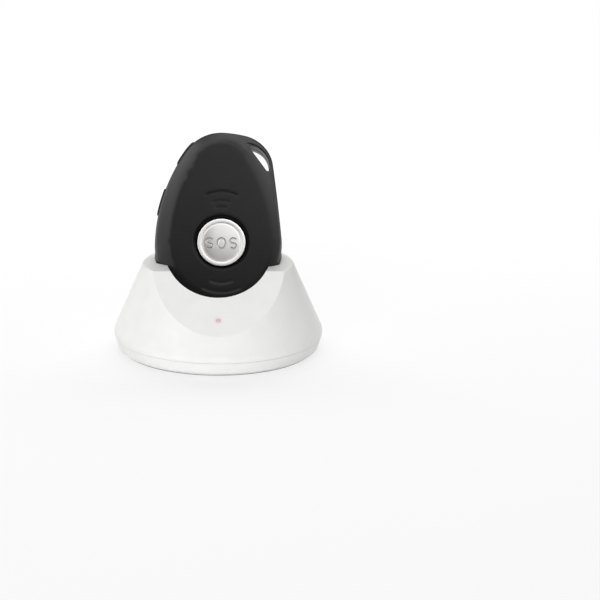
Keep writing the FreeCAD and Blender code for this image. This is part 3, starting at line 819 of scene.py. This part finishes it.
@dataclass
class CallButton:
    """The turned cap: bright rim, fine groove, shallow dome and engraved letters, in mm."""

    middle: float = 1.1
    radius: float = 8.25
    top: float = -7.9
    base: float = -5.8
    rim_width: float = 1.25
    groove_width: float = 0.35
    groove_depth: float = 0.4
    lip_width: float = 0.04
    lip_depth: float = 0.05
    rise: float = 0.26
    edge: float = 0.2
    steps: int = 128
    dome_steps: int = 12
    edge_steps: int = 5
    sharp_angle: float = 40.0
    letters: tuple[Letter, ...] = (Letter.S, Letter.O, Letter.S)
    letter_height: float = 4.8
    letter_pitch: float = 4.1
    letter_drop: float = 0.42
    oval_steps: int = 32
    bowl_share: float = 0.92
    upper_bowl: range = range(30, 271, 15)
    lower_bowl: range = range(75, -151, -15)
    stroke: float = 1.2
    thinnest: float = 0.78
    stroke_sides: int = 3
    engraving: float = 0.25

    def _dome_edge(self) -> float:
        """Gives the radius at which the dome ends in the groove."""
        return self.radius - self.rim_width - self.groove_width

    def _dome(self, radius: float) -> float:
        """Gives the dome's depth at a radius.

        Args:
            radius: How far from the cap's middle.

        Returns:
            The place along the tracker's depth.
        """
        ball = (self._dome_edge() ** 2 + self.rise ** 2) / (2 * self.rise)
        low = self.top + self.groove_depth / 2
        return low - self.rise + ball - math.sqrt(ball ** 2 - radius ** 2)

    def dome_middle(self) -> Vector:
        """Gives the middle of the cap's top, in metres."""
        return tracker_matrix() @ Vector((self.middle, self._dome(0.0), 0.0))

    def _profile(self) -> list[tuple[float, float]]:
        """Gives the turned outline, from the dome's middle out and down to the base.

        Returns:
            (radius, depth) pairs in millimetres.
        """
        dome_edge = self._dome_edge()
        rim_inner = self.radius - self.rim_width
        floor = self.top + self.groove_depth
        radii = [dome_edge * step / self.dome_steps for step in range(self.dome_steps)]
        points = [(radius, self._dome(radius)) for radius in radii]
        points += [(dome_edge - self.lip_width, self._dome(dome_edge)),
                   (dome_edge, self._dome(dome_edge) + self.lip_depth),
                   (dome_edge, floor), (rim_inner, floor), (rim_inner, self.top + self.edge / 2)]
        turns = [math.pi / 2 * step / self.edge_steps for step in range(self.edge_steps + 1)]
        points += [(rim_inner + self.edge / 2 * (1 - math.cos(turn)),
                    self.top + self.edge / 2 * (1 - math.sin(turn))) for turn in turns[1:]]
        points += [(self.radius - self.edge * (1 - math.sin(turn)),
                    self.top + self.edge * (1 - math.cos(turn))) for turn in turns]
        return points + [(self.radius, self.base), (0.0, self.base)]

    def _letter_line(self, letter: Letter) -> tuple[list[tuple[float, float]], bool]:
        """Gives the middle line of a plain letter.

        Args:
            letter: Which letterform.

        Returns:
            Its points in millimetres round its own middle, and whether it closes.
        """
        half_width = (letter.value - self.stroke) / 2
        half_height = (self.letter_height - self.stroke) / 2
        if letter is Letter.O:
            turns = [2 * math.pi * step / self.oval_steps for step in range(self.oval_steps)]
            return [(half_width * math.cos(t), half_height * math.sin(t)) for t in turns], True
        bowl = half_height / 2
        reach = half_width * self.bowl_share
        return [(reach * math.cos(turn), middle + bowl * math.sin(turn))
                for middle, degrees in ((bowl, self.upper_bowl), (-bowl, self.lower_bowl))
                for turn in map(math.radians, degrees)], False

    def _bars(self) -> bpy.types.Object:
        """Makes the letters as round bars that reach into the dome.

        Returns:
            One curve object that holds the letters, round the cap's own middle.
        """
        curve = bpy.data.curves.new("letter_bars", "CURVE")
        curve.dimensions = "3D"
        curve.bevel_depth = self.stroke / 2
        curve.bevel_resolution = self.stroke_sides
        curve.use_fill_caps = True
        for index, letter in enumerate(self.letters):
            line, closed = self._letter_line(letter)
            spline = curve.splines.new("POLY")
            spline.points.add(len(line) - 1)
            spline.use_cyclic_u = closed
            for point, (across, up) in zip(spline.points, line):
                height = 2.0 * up / (self.letter_height - self.stroke)
                point.radius = 1.0 - (1.0 - self.thinnest) * height ** 2
                across += (index - 1) * self.letter_pitch
                up -= self.letter_drop
                sunk = self._dome(math.hypot(across, up)) + self.engraving
                point.co = (across, sunk - point.radius * self.stroke / 2, up, 1.0)
        return new_object("letter_bars", curve)

    def build(self) -> None:
        """Makes the cap, engraves it and moves it into place."""
        cap = new_piece("call_button_turned_cap", Body.BUTTON, "satin_button",
                        spun(self._profile(), self.steps), ("call_button_cap",))
        bars = self._bars()
        cutter = new_object("letter_cutter", evaluated_mesh(bars))
        cut = cap.modifiers.new("engrave", "BOOLEAN")
        cut.operation, cut.solver, cut.object = "DIFFERENCE", "EXACT", cutter
        engraved = evaluated_mesh(cap)
        cap.modifiers.remove(cut)
        cap.data = engraved
        for spare in (bars, cutter):
            bpy.data.objects.remove(spare)
        cap.data.transform(tracker_matrix() @ Matrix.Translation((self.middle, 0.0, 0.0)))
        smooth(cap, self.sharp_angle)


@dataclass
class InnerPieces:
    """The CAD nodes that keep their own shape and get a worked surface."""

    replaced: tuple[str, ...] = ("front_housing", "rear_housing", "dock_shell", "dock_base",
                                 "call_button_cap")

    def build(self) -> None:
        """Dresses each node by its slot in the record."""
        for entry in frame["record"]["subparts"]:
            node, slot = entry["node"], entry["material_slot"]
            if node in self.replaced:
                continue
            for holder in frame["nodes"][node].material_slots:
                holder.material = FINISHES[slot].material()
            LOG.info("%s: dressed as %s", node, slot)


def finishes() -> dict[str, Finish]:
    """Gives every finish by the record's slot name.

    Returns:
        The finishes.
    """
    button_top = CallButton().dome_middle()
    made = (
        TrackerPlastic("black_housing", (0.0055, 0.0055, 0.0057), 0.36, wander=0.10,
                       grain_depth=0.006 * MM, specular=0.3, soft_edge=1.3 * MM,
                       centre=button_top),
        ButtonMetal("satin_button", (0.76, 0.75, 0.735), 0.36, 1.0, Grain.TURNED, 0.16 * MM,
                    0.0015 * MM, 0.02, centre=button_top),
        DockPlastic("white_dock", (0.86, 0.86, 0.85), 0.34, wander=0.012, grain_depth=0.003 * MM),
        LensPlastic("red_lens", (0.52, 0.40, 0.44), 0.35, wander=0.08),
        BoardLacquer("circuit_board", (0.02, 0.16, 0.08), 0.3, grain_depth=0.03 * MM),
        Finish("silicone", (0.10, 0.10, 0.10), 0.75),
        Finish("key_rubber", (0.010, 0.010, 0.0105), 0.55, wander=0.12, specular=0.35),
        Finish("foot_rubber", (0.30, 0.30, 0.30), 0.8, grain_depth=0.02 * MM),
        Finish("inner_plastic", (0.05, 0.05, 0.055), 0.6),
        Finish("card_plastic", (0.75, 0.75, 0.72), 0.4),
        Finish("led_resin", (0.80, 0.20, 0.20), 0.2),
        Finish("aerial_ceramic", (0.72, 0.66, 0.52), 0.35),
        Finish("battery_pouch", (0.62, 0.64, 0.67), 0.38, 0.9, Grain.CRINKLED, 1.6 * MM, 0.05 * MM),
        Finish("switch_steel", (0.60, 0.60, 0.61), 0.35, 1.0, Grain.DRAWN),
        Finish("plate_steel", (0.45, 0.46, 0.47), 0.45, 1.0, Grain.DRAWN),
        Finish("screw_steel", (0.30, 0.30, 0.31), 0.35, 1.0, Grain.DRAWN, 0.12 * MM),
        Finish("gold_contact", (0.83, 0.64, 0.28), 0.25, 1.0, Grain.DRAWN, 0.12 * MM, 0.002 * MM),
    )
    return {finish.slot: finish for finish in made}


FINISHES = finishes()


@dataclass(frozen=True)
class Lamp:
    """A soft lamp: its place and size in metres and its power in watts."""

    name: str
    place: tuple[float, float, float]
    size: tuple[float, float]
    power: float

    def build(self, aim: Vector) -> None:
        """Adds the lamp, which isn't mirrored in the object.

        Args:
            aim: The point that it faces.
        """
        data = bpy.data.lights.new(self.name, "AREA")
        data.shape, data.energy = "RECTANGLE", self.power
        data.size, data.size_y = self.size
        lamp = new_object(self.name, data)
        lamp.visible_glossy = False
        lamp.location = self.place
        lamp.rotation_euler = (aim - lamp.location).to_track_quat("-Z", "Y").to_euler()


@dataclass
class Studio:
    """White surroundings, soft lamps and the camera."""

    # Camera
    aim: Vector = Vector((0.0, 0.0, 16.65 * MM))
    distance: float = 0.65
    elevation: float = 16.0
    focal: float = 111.9
    sensor: float = 36.0
    sideways: float = 0.1363
    clip: Span = (0.01, 50.0)
    # Lamps
    lamps: tuple[Lamp, ...] = (
        Lamp("key", (-0.36, -0.98, 0.22), (0.45, 0.45), 5.6),
        Lamp("low", (0.1, -1.0, 0.08), (0.45, 0.14), 2.3),
        Lamp("top", (0.0, 0.0, 1.0), (0.7, 0.5), 2.1),
        Lamp("back", (0.0, 0.75, 0.65), (1.6, 0.4), 14.0),
    )
    # Floor
    floor_radius: float = 0.6
    floor_sides: int = 64
    floor_drop: float = 0.05 * MM
    floor_fade: Span = (0.2, 0.5)
    floor_colour: Colour = (0.82, 0.82, 0.82)
    floor_white: float = 0.75
    # Even fill, and the brightness of what the object mirrors
    fill: float = 0.13
    base_shine: float = 0.05
    ahead_shine: float = 1.36
    ahead_rise: Span = (0.44, 0.60)
    ahead_fall: Span = (0.95, 0.75)
    ahead_sides: Span = (-0.3, 0.3)
    ahead_least: float = 0.35
    above_shine: float = 2.1
    above_rise: Span = (0.75, 0.95)
    above_sides: Span = (-0.1, 0.35)
    above_loss: float = 0.35
    left_shine: float = 1.5
    left_sides: Span = (-0.4, -0.7)
    left_rise: Span = (0.3, 0.7)
    left_gain: float = 0.7
    right_shine: float = 1.2
    right_sides: Span = (0.5, 0.85)

    def build(self) -> None:
        """Sets up the whole studio."""
        self._camera()
        self._floor()
        self._world()
        for lamp in self.lamps:
            lamp.build(self.aim)
        bpy.context.scene.view_settings.view_transform = "Standard"

    def _camera(self) -> None:
        """Puts the camera in front of the object and a little above."""
        tilt = math.radians(self.elevation)
        back = Vector((0.0, -math.cos(tilt), math.sin(tilt)))
        data = bpy.data.cameras.new("camera")
        data.lens, data.sensor_width, data.shift_x = self.focal, self.sensor, self.sideways
        data.clip_start, data.clip_end = self.clip
        camera = new_object("camera", data)
        camera.location = self.aim + back * self.distance
        camera.rotation_euler = (-back).to_track_quat("-Z", "Y").to_euler()
        bpy.context.scene.camera = camera

    def _floor(self) -> None:
        """Makes the pale floor, which keeps the object's soft shadow and shows from above only."""
        shape = bmesh.new()
        bmesh.ops.create_circle(shape, cap_ends=True, segments=self.floor_sides,
                                radius=self.floor_radius)
        bmesh.ops.translate(shape, verts=shape.verts, vec=(0.0, 0.0, -self.floor_drop))
        if shape.faces[:][0].normal.z < 0.0:
            bmesh.ops.reverse_faces(shape, faces=shape.faces)
        floor = new_object("floor", new_mesh("floor", shape))
        paint = bpy.data.materials.new("floor_paint")
        paint.use_nodes = True
        floor.data.materials.append(paint)
        graph = Graph(paint.node_tree)
        camera, glossy, through = graph.rays()
        seen = camera.larger(glossy).larger(through)
        matt = graph.node("ShaderNodeBsdfDiffuse", {}, {"Color": self.floor_colour})
        white = graph.node("ShaderNodeEmission", {}, {"Color": (1.0, 1.0, 1.0), "Strength": 1.0})
        clear = graph.node("ShaderNodeBsdfTransparent")
        mixed = graph.node("ShaderNodeMixShader", {},
                           {0: seen * self.floor_white, 1: matt.outputs[0], 2: white.outputs[0]})
        below = graph.signal(graph.node("ShaderNodeNewGeometry"), "Backfacing")
        gone = below.larger(graph.length(graph.place()).ramp(*self.floor_fade))
        sided = graph.node("ShaderNodeMixShader", {},
                           {0: gone, 1: mixed.outputs[0], 2: clear.outputs[0]})
        graph.node("ShaderNodeOutputMaterial", {}, {0: sided.outputs[0]})

    def _shine(self, graph: Graph) -> Signal:
        """Gives what the object mirrors: a panel ahead, one above and one on each side.

        Args:
            graph: The surroundings' graph.

        Returns:
            The brightness in each direction.
        """
        place = graph.node("ShaderNodeTexCoord").outputs["Generated"]
        side, _, height = graph.parts(place)
        ahead = height.ramp(*self.ahead_rise) * height.ramp(*self.ahead_fall)
        ahead = ahead * (self.ahead_least + side.ramp(*self.ahead_sides))
        above = height.ramp(*self.above_rise)
        above = above * (1.0 - self.above_loss * side.ramp(*self.above_sides))
        left = side.ramp(*self.left_sides) * (1.0 + self.left_gain * height.ramp(*self.left_rise))
        right = side.ramp(*self.right_sides)
        return (self.base_shine + self.ahead_shine * ahead + self.above_shine * above
                + self.left_shine * left + self.right_shine * right)

    def _world(self) -> None:
        """Makes the surroundings: white to look at, uneven in shine, and a weak even fill."""
        world = bpy.data.worlds.new("surroundings")
        world.use_nodes = True
        bpy.context.scene.world = world
        graph = Graph(world.node_tree)
        camera, glossy, through = graph.rays()
        direct = camera.larger(through)
        lit = (1.0 - glossy) * self.fill + glossy * self._shine(graph)
        strength = lit * (1.0 - direct) + direct
        sky = graph.node("ShaderNodeBackground", {},
                         {"Color": (1.0, 1.0, 1.0), "Strength": strength})
        graph.node("ShaderNodeOutputWorld", {}, {0: sky.outputs[0]})


def main() -> None:
    """Builds the looks in order."""
    logging.basicConfig(level=logging.INFO, format="%(message)s")
    for part in (Studio(), MouldedShells(), CallButton(), InnerPieces()):
        part.build()


if __name__ == "__main__":
    main()
